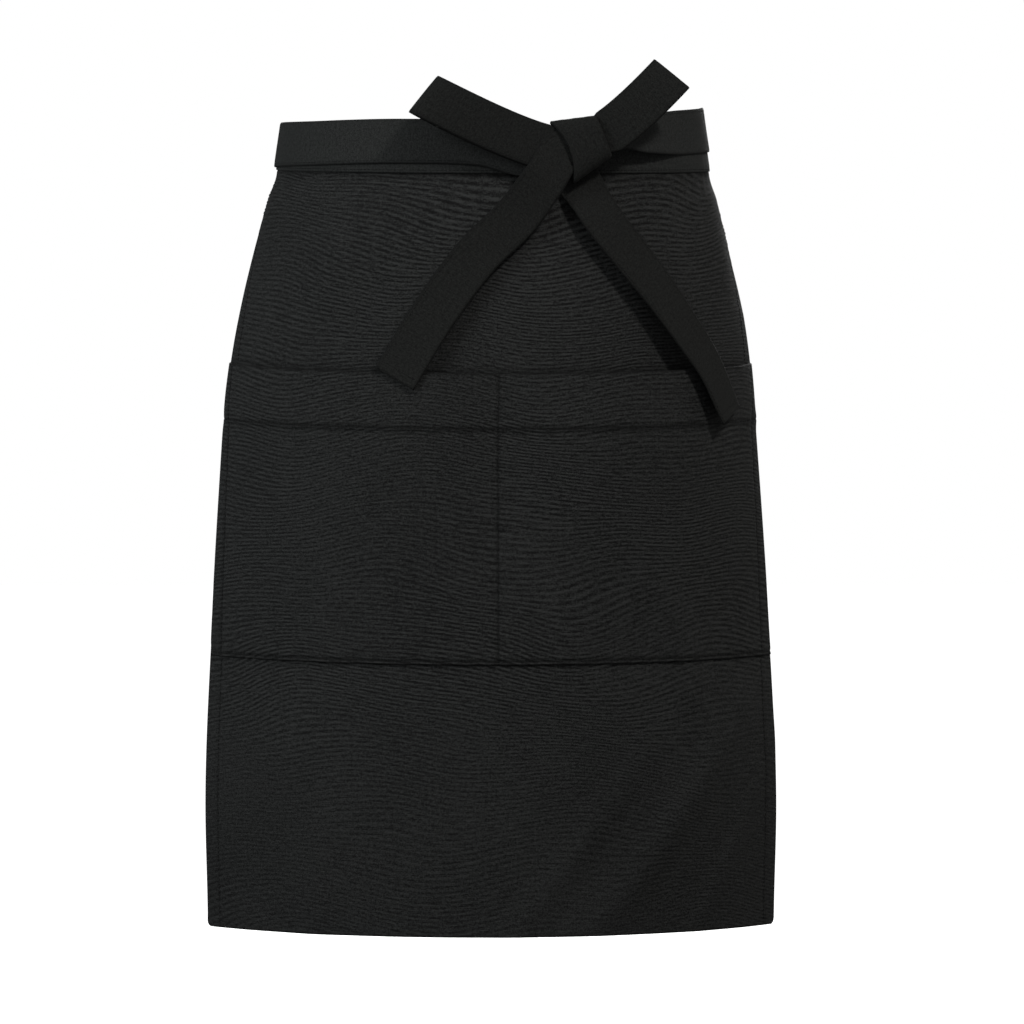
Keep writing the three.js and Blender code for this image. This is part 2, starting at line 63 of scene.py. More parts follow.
for name, place, size, watts, tint in (
    ("key_light", (1.5, -2.4, 2.2), 0.45, 78, (1, 0.985, 0.95)),
    ("left_light", (-2.6, -1.9, 1.1), 1.8, 78, (0.94, 0.99, 1)),
    ("front_fill", (0.2, -3.4, -0.2), 2.2, 11, (1, 1, 1)),
    ("left_strip", (-1.5, 0.15, 0.1), 0.9, 4, (0.96, 1, 1)),
    ("right_strip", (1.5, 0.15, 0.1), 0.9, 3, (1, 0.99, 0.94)),
    ("back_light", (0.6, 3.0, 1.4), 2.0, 110, (1, 1, 1)),
):
    lamp = bpy.data.lights.new(name, "AREA")
    lamp.size = size
    lamp.energy = watts
    lamp.color = tint
    light = bpy.data.objects.new(name, lamp)
    light.location = place
    aim = np.array([0, 0, -0.25]) - np.array(place)
    aside = math.atan2(-aim[0], aim[1])
    light.rotation_euler = (math.atan2(math.hypot(aim[0], aim[1]), -aim[2]), 0, aside)
    light.visible_camera = False
    bpy.context.scene.collection.objects.link(light)

sky = bpy.data.worlds.new("white_sky")
sky.use_nodes = True
bpy.context.scene.world = sky
tree = sky.node_tree
soft = tree.nodes["Background"]
soft.inputs["Color"].default_value = (1, 1, 1, 1)
soft.inputs["Strength"].default_value = 0.16
plain = tree.nodes.new("ShaderNodeBackground")
plain.inputs["Color"].default_value = (1, 1, 1, 1)
seen = tree.nodes.new("ShaderNodeLightPath")
pick = tree.nodes.new("ShaderNodeMixShader")
tree.links.new(seen.outputs["Is Camera Ray"], pick.inputs[0])
tree.links.new(soft.outputs[0], pick.inputs[1])
tree.links.new(plain.outputs[0], pick.inputs[2])
tree.links.new(pick.outputs[0], tree.nodes["World Output"].inputs[0])

floor_mesh = bpy.data.meshes.new("floor")
floor_reach = 40
floor_corners = [(-1, -1), (1, -1), (1, 1), (-1, 1)]
floor_mesh.from_pydata(
    [(x * floor_reach, y * floor_reach, FLOOR_HEIGHT) for x, y in floor_corners],
    [],
    [(0, 1, 2, 3)],
)
floor = bpy.data.objects.new("floor", floor_mesh)
pale = bpy.data.materials.new("pale_floor")
pale.use_nodes = True
pale_shader = pale.node_tree.nodes["Principled BSDF"]
pale_shader.inputs["Base Color"].default_value = (0.9, 0.9, 0.9, 1)
pale_shader.inputs["Roughness"].default_value = 0.9
pale_shader.inputs["Emission Color"].default_value = (1, 1, 1, 1)
pale_shader.inputs["Emission Strength"].default_value = 1.0
floor_mesh.materials.append(pale)
floor.visible_diffuse = False
floor.visible_glossy = False
bpy.context.scene.collection.objects.link(floor)

# Apron panel: one piece of black cotton canvas, 50 cm wide when its side edges are
# turned in, sewn into the band along its top. Worn, it bends round the hips and
# thighs, and hangs down to the knees in a few soft folds.
MM = 0.001
CLOTH = 1.2
GAP = 0.3
TAPE_WIDTH = 34.0
BAND_LEAF = 1.0
PANEL_WIDTH = 500.0
SKIRT_DROP = 566.0
SIDE_HEM = 16.0
CORNER = 5.0
POCKET_MOUTH = 149.0
WAIST_HALF_WIDTH = 165.8
WAIST_HALF_DEPTH = 112.0
WAIST_TILT = 9.5
WAIST_LEAN = 0.14
WAIST_DRAW = 2.6
SIDE_DRAW = 1.95
SKIRT_HALF_WIDTH = 217.9
SKIRT_FORWARD = 37.0
FOLD_HEIGHT = 4.0
FOLD_WIDTH = 18.0
CANVAS_BLACK = (0.0020, 0.0021, 0.0021)
CANVAS_WORN = (0.0240, 0.0247, 0.0244)

# down, spread, round, forward, rise: the columns of the levels of the worn skirt
LEVELS = np.array([
    (0, 0, 0, 0, 1),
    (0.04, 0.127, 0.043, 0.11, 1.1),
    (0.107, 0.302, 0.136, 0.27, 1.27),
    (0.173, 0.465, 0.259, 0.39, 1.42),
    (0.24, 0.598, 0.352, 0.49, 1.55),
    (0.307, 0.692, 0.444, 0.57, 1.57),
    (0.374, 0.752, 0.537, 0.65, 1.5),
    (0.574, 0.885, 0.753, 0.785, 1.28),
    (0.84, 1, 1, 0.945, 0.7),
    (1, 0.965, 1, 1, 0.32),
])
# from, to, start, end, height and width of each soft fold, as shares
FOLDS = (
    (0.03, 0.3, -0.5, -0.56, 0.8, 1),
    (0.4, 0.85, 0.36, 0.8, 0.9, 1),
    (0.62, 1.1, 1, 0.1, 1.1, 1),
    (0.66, 1.4, -0.62, -0.5, 0.7, 1),
    (0.02, 0.16, 0.56, 0.6, 0.35, 0.35),
    (0.02, 0.13, 0.66, 0.7, 0.3, 0.3),
    (0.02, 0.24, 0.3, 0.5, 0.3, 0.6),
    (0.66, 1.15, 0.62, -0.2, 0.6, 0.8),
    (0.7, 1.1, 1.05, 0.5, 0.7, 0.6),
    (0.3, 0.62, -0.8, -0.45, 0.25, 0.8),
)


def read_table(rows, column, place):
    """A smooth curve through one column of a table whose first column is the key."""
    keys, values = rows[:, 0], rows[:, column]
    if place <= keys[0]:
        return values[0]
    if place >= keys[-1]:
        return values[-1]
    i = int(np.searchsorted(keys, place, side="right")) - 1

    def slope(j):
        lo, hi = max(j - 1, 0), min(j + 1, len(keys) - 1)
        if (values[hi] - values[j]) * (values[j] - values[lo]) <= 0:
            return 0
        return (values[hi] - values[lo]) / (keys[hi] - keys[lo])

    span = keys[i + 1] - keys[i]
    f = (place - keys[i]) / span
    m, n = slope(i) * span, slope(i + 1) * span
    start = values[i] * (2 * f**3 - 3 * f**2 + 1) + m * (f**3 - 2 * f**2 + f)
    return start + values[i + 1] * (3 * f**2 - 2 * f**3) + n * (f**3 - f**2)


def walk_section(a, b):
    """Angles and lengths along an oval from its front, past the panel's side edge."""
    angles = np.radians(np.arange(0, 190, 1.5))
    middles = (angles[1:] + angles[:-1]) / 2
    grow = np.radians(1.5) * np.hypot(a * np.cos(middles), b * np.sin(middles))
    return angles, np.concatenate([[0], np.cumsum(grow)])


sections = {}


def section_at(down):
    """The oval of one level: half width, half depth, front, rise and its arc lengths."""
    share = float(np.clip(down / SKIRT_DROP, 0, 1))
    if share in sections:
        return sections[share]
    spread, rounding, forward, rise = (read_table(LEVELS, c, share) for c in (1, 2, 3, 4))
    broad = WAIST_HALF_WIDTH + (SKIRT_HALF_WIDTH - WAIST_HALF_WIDTH) * spread
    waist_ratio = WAIST_HALF_DEPTH / WAIST_HALF_WIDTH
    ratio = waist_ratio + (1 - waist_ratio) * rounding
    low, high = broad / 2, broad * 4
    for _ in range(30):
        a = (low + high) / 2
        angles, lengths = walk_section(a, a * ratio)
        end = np.interp(PANEL_WIDTH / 2, lengths, angles)
        if a * math.sin(min(end, math.pi / 2)) < broad:
            low = a
        else:
            high = a
    front = -WAIST_HALF_DEPTH - SKIRT_FORWARD * forward
    walk = walk_section(low, low * ratio)
    sections[share] = (low, low * ratio, front, WAIST_TILT * rise, *walk)
    return sections[share]


def on_section(section, angle, down):
    """Points and outward directions on a level, at angles from its front."""
    a, b, front, rise = section[:4]
    back = 1 - np.cos(angle)
    top = -WAIST_TILT - TAPE_WIDTH / 2
    point = np.stack([a * np.sin(angle), front + b * back, top - down + rise * back], -1)
    out = np.stack([np.sin(angle) / a, -np.cos(angle) / b, np.zeros_like(back)], -1)
    return point, out / np.linalg.norm(out, axis=-1, keepdims=True)


def fold_at(along, down):
    """How far the soft folds lift the cloth."""
    swell = np.zeros_like(along)
    for begin, finish, start, end, height, width in FOLDS:
        f = (down / SKIRT_DROP - begin) / (finish - begin)
        if 0 < f < 1:
            middle = (start + (end - start) * f) * PANEL_WIDTH / 2
            near = np.exp(-(((along - middle) / (FOLD_WIDTH * width)) ** 2))
            swell += FOLD_HEIGHT * height * near * math.sin(math.pi * f) ** 2
    return swell


def drawn_in(x, down):
    """How far the cloth hangs closer in than its ovals, at the waist's left side and
    at the skirt's right side."""
    share = down / SKIRT_DROP
    waist_part = WAIST_DRAW * (1 - np.clip(share / 0.3, 0, 1)) * np.clip(-x / WAIST_HALF_WIDTH, 0, 1)
    settled = np.clip((share - 0.2) / 0.15, 0, 1)
    return waist_part - settled * SIDE_DRAW * (np.clip(x / SKIRT_HALF_WIDTH, -1, 1) + 1)


def skirt_row(along, down, out):
    """A row of the skirt: points along the width at one drop, out from the cloth."""
    section = section_at(down)
    angle = np.interp(np.abs(along), section[5], section[4]) * np.sign(along)
    point, outward = on_section(section, angle, down)
    tucked = WAIST_LEAN * min(down, 0)
    point[:, 0] += drawn_in(point[:, 0], down)
    return point + outward * (out + tucked + fold_at(along, down))[:, None], outward


def ripple(along, seed):
    """An uneven wave along a seam, between about -1 and 1."""
    waves = ((7.5, 1.0), (12.0, 0.9), (21.0, 0.8), (41.0, 0.6))
    total = sum(
        weight * np.sin(2 * math.pi * along / length + seed * (3.1 + length))
        for length, weight in waves
    )
    return total / 2.2


def pucker(along, distance, seed, depth, reach, sunk=0.5):
    """The small gathers and the sunk thread line beside a row of stitches."""
    beside = np.exp(-((distance / reach) ** 2))
    thread = np.exp(-((distance / 1.2) ** 2))
    return depth * ripple(along, seed) * beside - sunk * thread


def mesh_piece(name, points, faces, uvs, material, shade=None):
    """A smooth mesh in metres, with cloth coordinates and a painted shade for each point: a factor that darkens its
    colour.
    """
    mesh = bpy.data.meshes.new(name)
    mesh.from_pydata([tuple(p) for p in np.asarray(points) * MM], [], faces)
    mesh.polygons.foreach_set("use_smooth", [True] * len(mesh.polygons))
    layer = mesh.uv_layers.new(name="cloth")
    corners = np.zeros(len(mesh.loops), np.int32)
    mesh.loops.foreach_get("vertex_index", corners)
    layer.data.foreach_set("uv", (np.asarray(uvs)[corners] * MM).ravel())
    tone = mesh.attributes.new("shade", "FLOAT", "POINT")
    tone.data.foreach_set("value", np.ones(len(points)) if shade is None else shade)
    mesh.materials.append(material)
    mesh.validate()
    piece = bpy.data.objects.new(name, mesh)
    bpy.context.scene.collection.objects.link(piece)
    return piece


def sheet_mesh(columns, rows, outside, inside, shading):
    """Points, faces, cloth coordinates and painted shades of a thin wall with closed edges."""
    points, uvs, shades = [], [], []
    for face in (outside, inside):
        for down in rows:
            points.append(face(columns, down))
            uvs.append(np.stack([columns, np.full_like(columns, -down)], -1))
            shades.append(shading(columns, down))
    n, m = len(columns), len(rows)
    faces = []
    for j in range(m - 1):
        for i in range(n - 1):
            a, b = j * n + i, (j + 1) * n + i
            c, d = a + n * m, b + n * m
            faces += [(b, b + 1, a + 1, a), (c, c + 1, d + 1, d)]
    for i in range(n - 1):
        last = (m - 1) * n + i
        faces += [(i, i + 1, n * m + i + 1, n * m + i)]
        faces += [(n * m + last, n * m + last + 1, last + 1, last)]
    for j in range(m - 1):
        a, b = j * n, (j + 1) * n
        faces += [(a + n * m, b + n * m, b, a)]
        a, b = a + n - 1, b + n - 1
        faces += [(a, b, b + n * m, a + n * m)]
    return np.concatenate(points), faces, np.concatenate(uvs), np.concatenate(shades)


def shader_group(name, inputs, outputs):
    """An empty shader group with named float, colour or vector sockets."""
    group = bpy.data.node_groups.new(name, "ShaderNodeTree")
    kinds = {"value": "NodeSocketFloat", "colour": "NodeSocketColor", "vector": "NodeSocketVector"}
    for label, kind, default in inputs:
        socket = group.interface.new_socket(name=label, in_out="INPUT", socket_type=kinds[kind])
        if default is not None:
            socket.default_value = default
    for label, kind in outputs:
        group.interface.new_socket(name=label, in_out="OUTPUT", socket_type=kinds[kind])
    return group


def add_node(tree, kind, *links, **values):
    """A node with its inputs linked in order, or set where a link is a number."""
    node = tree.nodes.new(kind)
    for key, value in values.items():
        setattr(node, key, value)
    for i, link in enumerate(links):
        if link is None:
            continue
        if isinstance(link, bpy.types.NodeSocket):
            tree.links.new(link, node.inputs[i])
        else:
            node.inputs[i].default_value = link
    return node


def canvas_weave_group():
    """Woven cloth: yarns, slubs and the wavy crosswise ribs, as colour and height. The colour is scaled down by the
    Shade input, a painted shade.
    """
    group = shader_group(
        "canvas_weave",
        [
            ("Cloth", "vector", None),
            ("Shade", "value", 1.0),
            ("Dark", "colour", (0.01, 0.01, 0.01, 1)),
            ("Light", "colour", (0.03, 0.03, 0.03, 1)),
            ("Rib Pitch", "value", 0.003),
            ("Rib Strength", "value", 1.0),
            ("Calm From", "value", -0.36),
            ("Calm To", "value", -0.46),
            ("Yarn Pitch", "value", 0.0009),
        ],
        [("Color", "colour"), ("Height", "value"), ("Roughness", "value")],
    )
    nodes = group.nodes
    given = nodes.new("NodeGroupInput")
    given_out = given.outputs
    result = nodes.new("NodeGroupOutput")

    def math_node(operation, *links):
        return add_node(group, "ShaderNodeMath", *links, operation=operation).outputs[0]

    def noise(vector, detail, roughness=0.5):
        node = add_node(group, "ShaderNodeTexNoise", vector)
        node.inputs["Scale"].default_value = 1
        node.inputs["Detail"].default_value = detail
        node.inputs["Roughness"].default_value = roughness
        return node.outputs["Fac"]

    def stretched(across, along):
        node = add_node(group, "ShaderNodeVectorMath", given_out["Cloth"], operation="MULTIPLY")
        node.inputs[1].default_value = (across, along, 1)
        return node.outputs[0]

    split = add_node(group, "ShaderNodeSeparateXYZ", given_out["Cloth"])
    across, along = split.outputs["X"], split.outputs["Y"]
    wander = noise(stretched(4, 5.5), 1.5)
    drift = math_node("MULTIPLY", math_node("SUBTRACT", wander, 0.5), 33.0)
    rib_turns = math_node("ADD", math_node("DIVIDE", along, given_out["Rib Pitch"]), drift)
    rib = math_node("SINE", math_node("MULTIPLY", rib_turns, 2 * math.pi))
    patches = add_node(group, "ShaderNodeMapRange", noise(stretched(6, 9), 1.0), 0.36, 0.58, 0.5, 1.0)
    broken = add_node(group, "ShaderNodeMapRange", noise(stretched(130, 300), 1.0), 0.38, 0.62, 0.05, 1.15)
    calm = add_node(
        group, "ShaderNodeMapRange", along, given_out["Calm To"], given_out["Calm From"], 0.5, 1.0
    )
    rib_field = math_node("MULTIPLY", patches.outputs[0], broken.outputs[0])
    rib_field = math_node("MULTIPLY", rib_field, calm.outputs[0])
    ribs = math_node("MULTIPLY", math_node("MULTIPLY", rib, rib_field), given_out["Rib Strength"])
    yarn_x = math_node("SINE", math_node("MULTIPLY", math_node("DIVIDE", across, given_out["Yarn Pitch"]), 2 * math.pi))
    yarn_y = math_node("SINE", math_node("MULTIPLY", math_node("DIVIDE", along, given_out["Yarn Pitch"]), 2 * math.pi))
    yarns = math_node("MULTIPLY", yarn_x, yarn_y)
    slubs = math_node("SUBTRACT", noise(stretched(70, 1500), 2.0, 0.65), 0.5)
    slubs = math_node("MULTIPLY", slubs, given_out["Rib Strength"])
    mottle = math_node("SUBTRACT", noise(stretched(380, 420), 2.0, 0.6), 0.5)
    grain = math_node("SUBTRACT", noise(stretched(900, 900), 2.0, 0.6), 0.5)
    blotch = math_node("SUBTRACT", noise(stretched(9, 7), 3.0), 0.5)
    tone = math_node("MULTIPLY_ADD", ribs, 0.62, 0.45)
    tone = math_node("MULTIPLY_ADD", slubs, 1.4, tone)
    tone = math_node("MULTIPLY_ADD", grain, 2.2, tone)
    tone = math_node("MULTIPLY_ADD", blotch, 0.4, tone)
    tone = math_node("MULTIPLY_ADD", yarns, 0.05, tone)
    tone = math_node("MULTIPLY_ADD", mottle, 1.3, tone)
    mixed = add_node(group, "ShaderNodeMix", data_type="RGBA", clamp_factor=True)
    group.links.new(tone, mixed.inputs["Factor"])
    group.links.new(given_out["Dark"], mixed.inputs[6])
    group.links.new(given_out["Light"], mixed.inputs[7])
    height = math_node("MULTIPLY_ADD", ribs, 0.00011, 0.0)
    height = math_node("MULTIPLY_ADD", yarns, 0.00003, height)
    height = math_node("MULTIPLY_ADD", slubs, 0.00022, height)
    height = math_node("MULTIPLY_ADD", grain, 0.00012, height)
    rough = math_node("MULTIPLY_ADD", tone, 0.12, 0.78)
    # Painted shade: the colour is scaled by the Shade input.
    shaded = add_node(group, "ShaderNodeVectorMath", mixed.outputs[2], operation="SCALE")
    group.links.new(given_out["Shade"], shaded.inputs["Scale"])
    group.links.new(shaded.outputs[0], result.inputs["Color"])
    group.links.new(height, result.inputs["Height"])
    group.links.new(rough, result.inputs["Roughness"])
    return group


canvas_weave = canvas_weave_group()


def cloth_material(name, dark, light, rib_pitch, rib_strength, yarn_pitch, sheen):
    """Matte cotton whose colour, roughness and relief come from the weave, with the colour darkened by each point's
    painted shade.
    """
    material = bpy.data.materials.new(name)
    material.use_nodes = True
    tree = material.node_tree
    shader = tree.nodes["Principled BSDF"]
    weave = tree.nodes.new("ShaderNodeGroup")
    weave.node_tree = canvas_weave
    cloth = add_node(tree, "ShaderNodeUVMap", uv_map="cloth")
    tree.links.new(cloth.outputs["UV"], weave.inputs["Cloth"])
    # Painted shade: each point's shade attribute darkens the weave's colour.
    shade = add_node(tree, "ShaderNodeAttribute", attribute_name="shade")
    tree.links.new(shade.outputs["Fac"], weave.inputs["Shade"])
    weave.inputs["Dark"].default_value = (*dark, 1)
    weave.inputs["Light"].default_value = (*light, 1)
    weave.inputs["Rib Pitch"].default_value = rib_pitch
    weave.inputs["Rib Strength"].default_value = rib_strength
    weave.inputs["Yarn Pitch"].default_value = yarn_pitch
    bump = tree.nodes.new("ShaderNodeBump")
    bump.inputs["Strength"].default_value = 0.8
    bump.inputs["Distance"].default_value = 1.0
    tree.links.new(weave.outputs["Height"], bump.inputs["Height"])
    tree.links.new(weave.outputs["Color"], shader.inputs["Base Color"])
    tree.links.new(weave.outputs["Roughness"], shader.inputs["Roughness"])
    tree.links.new(bump.outputs["Normal"], shader.inputs["Normal"])
    shader.inputs["Specular IOR Level"].default_value = 0.1
    shader.inputs["Sheen Weight"].default_value = sheen
    shader.inputs["Sheen Roughness"].default_value = 0.5
    return material


canvas = cloth_material("black_canvas", CANVAS_BLACK, CANVAS_WORN, 0.0034, 1.0, 0.0009, 0.01)


def columns_across(half, hem, count):
    """Columns across a cloth, closer where each side hem ends."""
    inner = half - hem
    edges = np.array([-half, -half + 1, -inner - 6, -inner - 2.2, -inner - 1, -inner])
    middle = np.linspace(-inner + 1, inner - 1, count)
    near_middle = np.array([-2.4, -1.2, 0, 1.2, 2.4])
    return np.unique(np.round(np.concatenate([edges, middle, near_middle, -edges]), 3))


panel_inner = PANEL_WIDTH / 2 - SIDE_HEM
side_stitch = panel_inner + 1.5


def panel_relief(along, down):
    """Fine relief of the panel's face: seam puckers, hem steps and a soft lie."""
    beside = np.abs(np.abs(along) - side_stitch)
    relief = pucker(np.full_like(along, down), beside, 1, 0.3, 5, sunk=0.25)
    relief += 0.25 * np.clip((np.abs(along) - panel_inner) / 1.0, 0, 1)
    under_band = math.exp(-((down / 16) ** 2))
    relief += 0.55 * under_band * ripple(along * 0.8, 2)
    bottom = math.exp(-(((SKIRT_DROP - down) / 6) ** 2))
    return relief + 0.25 * bottom * ripple(along, 5)


def corner(along, down):
    """Places along the panel's width, drawn in where its lower corners are rounded."""
    rise = np.clip(1 - (SKIRT_DROP - down) / CORNER, 0, 1)
    reach = PANEL_WIDTH / 2 - CORNER * (1 - math.sqrt(1 - rise**2))
    return np.clip(along, -reach, reach)


def panel_outside(along, down):
    along = corner(along, down)
    relief = panel_relief(along, down) if down > 1 else np.zeros_like(along)
    return skirt_row(along, down, CLOTH / 2 + relief)[0]


def panel_inside(along, down):
    along = corner(along, down)
    turned = CLOTH * np.clip((np.abs(along) - panel_inner) / 1.0, 0, 1) * (down > 1)
    relief = panel_relief(along, down) if down > 1 else np.zeros_like(along)
    return skirt_row(along, down, -CLOTH / 2 - turned + relief)[0]


panel_rows = np.concatenate([
    [-(TAPE_WIDTH - BAND_LEAF - GAP), -TAPE_WIDTH / 2, 0.2],
    np.linspace(1.2, SKIRT_DROP - CORNER, 190),
    SKIRT_DROP - CORNER * np.array([0.75, 0.5, 0.3, 0.15, 0.06, 0]),
])


def seam_shade(distance, depth):
    """Painted shade beside a row of stitches, standing in for the shade of its groove: how much the cloth is darkened
    at distances from it.
    """
    return 1 - depth * np.exp(-((distance / 1.3) ** 2))


# Painted shade on the panel: darker lines beside the side stitches, darker side and bottom edges, a painted shadow just
# under the band and just above and behind the pocket mouth, and a painted fall-off of the light towards the hem.
def panel_shade(along, down):
    side = seam_shade(np.abs(along) - side_stitch, 0.22)
    edge = 1 - 0.45 * (np.abs(along) > PANEL_WIDTH / 2 - 0.5)
    under_band = 1 - 0.5 * math.exp(-max(down, 0) / 2.5)
    low = 1 - 0.09 * np.clip((down - 380) / 120, 0, 1)
    bottom = 1 - 0.5 * (down > SKIRT_DROP - 1)
    mouth_shadow = 1 - 0.4 * math.exp(-(((down - POCKET_MOUTH) / 3) ** 2))
    return side * edge * under_band * bottom * mouth_shadow * low


*panel_mesh, panel_shades = sheet_mesh(
    columns_across(PANEL_WIDTH / 2, SIDE_HEM, 150),
    panel_rows,
    panel_outside,
    panel_inside,
    panel_shade,
)
panel = mesh_piece("apron_panel_cloth", *panel_mesh, canvas, panel_shades)
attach(panel, "root")
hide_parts("apron_panel")

# Pocket: one patch of the same canvas over the panel's full width, with a deep hem
# along its mouth, sewn down at its sides and bottom and along the middle, which makes
# two pockets whose mouths stand a little open.
POCKET_DEPTH = 216.0
POCKET_HEM = 43.0
POCKET_INSET = 1.0
POCKET_SEAM = 0.5
POCKET_GAPE = 9.0
SIDE_PRESS = 6.0
pocket_half = PANEL_WIDTH / 2 - POCKET_INSET
pocket_bottom = POCKET_MOUTH + POCKET_DEPTH
hem_stitch = POCKET_MOUTH + POCKET_HEM - 1.5
bottom_stitch = pocket_bottom - 2.5


def pocket_gape(along, down):
    deep = (down - POCKET_MOUTH) / POCKET_DEPTH
    opening = np.sin(math.pi * np.abs(along) / pocket_half)
    return POCKET_GAPE * opening * math.cos(math.pi / 2 * deep)


def pocket_relief(along, down):
    """Puckers along the hem, division, bottom and side stitches of the patch."""
    relief = pucker(along, np.full_like(along, down - hem_stitch), 3, 0.75, 6)
    relief += pucker(along * 0.9, np.full_like(along, down - bottom_stitch), 4, 0.8, 6)
    relief += pucker(np.full_like(along, down), np.abs(along), 6, 0.6, 7)
    beside = np.abs(np.abs(along) - side_stitch)
    relief += pucker(np.full_like(along, down), beside, 7, 0.3, 5)
    mouth = math.exp(-(((down - POCKET_MOUTH) / 9) ** 2))
    return relief + 0.35 * mouth * ripple(along * 0.45, 8)


def pocket_outside(along, down):
    pressed = np.exp(-(((pocket_half - np.abs(along)) / SIDE_PRESS) ** 2))
    doubled = CLOTH * (1 - np.clip((down - POCKET_MOUTH - POCKET_HEM) / 1.2, 0, 1))
    doubled = doubled * (1 - 0.75 * pressed)
    edge = -0.5 * (down <= POCKET_MOUTH)
    lift = CLOTH * 1.5 + POCKET_SEAM * (1 - 0.6 * pressed) + doubled + edge
    return skirt_row(along, down, lift + pocket_gape(along, down) + pocket_relief(along, down))[0]


def pocket_inside(along, down):
    relief = np.maximum(pocket_relief(along, down), -0.3)
    pressed = np.exp(-(((pocket_half - np.abs(along)) / SIDE_PRESS) ** 2))
    lift = CLOTH / 2 + POCKET_SEAM * (1 - 0.6 * pressed) + pocket_gape(along, down)
    return skirt_row(along, down, lift + relief)[0]


pocket_rows = np.unique(np.concatenate([
    [POCKET_MOUTH],
    np.linspace(POCKET_MOUTH + 0.8, pocket_bottom - 0.8, 110),
    hem_stitch + np.array([-1.2, 0, 1.2, 2.8]),
    bottom_stitch + np.array([-1.2, 0, 1.2]),
    [pocket_bottom],
]))


# Painted shade on the pocket: darker lines along its hem, bottom, middle and side stitches, darker side and bottom
# edges, and a dark line along the mouth standing in for the shadow of the gap behind it.
def pocket_shade(along, down):
    seams = seam_shade(down - hem_stitch, 0.55) * seam_shade(down - bottom_stitch, 0.5)
    seams = seams * seam_shade(np.abs(along), 0.42)
    seams = seams * seam_shade(np.abs(along) - side_stitch, 0.45)
    edge = 1 - 0.45 * (np.abs(along) > pocket_half - 0.5)
    mouth = 1 - 0.8 * math.exp(-(((down - POCKET_MOUTH) / 1.3) ** 2))
    return seams * edge * mouth * (1 - 0.6 * (down > pocket_bottom - 0.5))


*pocket_mesh, pocket_shades = sheet_mesh(
    columns_across(pocket_half, SIDE_HEM - POCKET_INSET, 150),
    pocket_rows,
    pocket_outside,
    pocket_inside,
    pocket_shade,
)
pocket = mesh_piece("pocket_cloth", *pocket_mesh, canvas, pocket_shades)
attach(pocket, "root")
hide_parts("pocket_panel")

# Waistband: a strip of canvas folded lengthwise over the panel's top edge and stitched
# through close to its lower edge. It ends at the panel's sides, where the ties begin.
band_half = CLOTH / 2 + GAP + BAND_LEAF
band_slot = CLOTH / 2 + GAP
BAND_BLACK = (0.0062, 0.0066, 0.0064)
BAND_WORN = (0.0225, 0.0236, 0.0230)
tape_cloth = cloth_material("black_tape", BAND_BLACK, BAND_WORN, 0.0021, 0.12, 0.0008, 0.01)


def waist_ring(around, up, out):
    """Points of the waist ring, in degrees from the front, with outward directions."""
    point, outward = on_section(section_at(0), np.radians(around), -TAPE_WIDTH / 2)
    inward = WAIST_LEAN * (np.asarray(up) + TAPE_WIDTH / 2)
    point[..., 0] += drawn_in(point[..., 0], 0)
    point = point + outward * (np.asarray(out) - inward)[..., None]
    point[..., 2] += up
    return point, outward


def ring_mesh(rings, lengths, girths, closed_ends=True):
    """Faces and cloth coordinates over rings of points carried along a piece."""
    n, m = len(rings[0]), len(rings)
    faces = []
    for k in range(m - 1):
        for i in range(n):
            j = (i + 1) % n
            faces.append((k * n + i, (k + 1) * n + i, (k + 1) * n + j, k * n + j))
    if closed_ends:
        faces.append(tuple(range(n)))
        faces.append(tuple((m - 1) * n + i for i in reversed(range(n))))
    uvs = [(girth, length) for length in lengths for girth in girths]
    return np.concatenate(rings), faces, uvs


band_top = TAPE_WIDTH / 2
band_edge_stitch = -band_top + 2.2
band_outline = []
for up in np.linspace(-band_top, band_top, 30):
    sunk = 0.3 * math.exp(-(((up - band_edge_stitch) / 0.9) ** 2))
    rounded = 0.5 * (abs(up) > band_top - 0.5)
    band_outline.append((band_half - sunk - rounded, up))
for out, up in (
    (-band_half + 0.5, band_top),
    (-band_half, band_top - 0.6),
    (-band_half, 0),
    (-band_half, -band_top + 0.6),
    (-band_half + 0.3, -band_top),
    (-band_slot, -band_top),
    (-band_slot, 0),
    (-band_slot, band_top - BAND_LEAF),
    (band_slot, band_top - BAND_LEAF),
    (band_slot, 0),
    (band_slot, -band_top),
):
    band_outline.append((out, up))
waist = section_at(0)
band_places = np.linspace(-PANEL_WIDTH / 2, PANEL_WIDTH / 2, 220)
band_rings = []
for place in band_places:
    degrees = math.degrees(np.interp(abs(place), waist[5], waist[4])) * np.sign(place)
    middle, outward = waist_ring(np.array([degrees]), 0, np.zeros(1))
    wave = 0.12 * ripple(np.array([place]), 9)[0]
    band_rings.append(np.array([
        middle[0]
        + outward[0] * (out + (wave if out > band_slot else 0) - WAIST_LEAN * up)
        + np.array([0, 0, up])
        for out, up in band_outline
    ]))
waistband = mesh_piece(
    "waistband_cloth",
    *ring_mesh(band_rings, band_places, [up for _, up in band_outline]),
    tape_cloth,
)
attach(waistband, "root")
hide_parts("waistband")

# Knot: the tape's own wrap round the crossing of the two ties. It leans to the right
# and is pulled narrower at that end. Its place is worked out here because the ties,
# loops and tails all run into it.
TAPE = 1.4
KNOT_ACROSS = 62.0
KNOT_UP = 4.3
KNOT_TURN = math.radians(21.5)
KNOT_DEPTH = 17.0
KNOT_WALL = 1.6
KNOT_HEIGHT_LEFT = 50.0
KNOT_HEIGHT_RIGHT = 33.0
KNOT_BELLY = 0.12
BOW_LAYER = 0.4
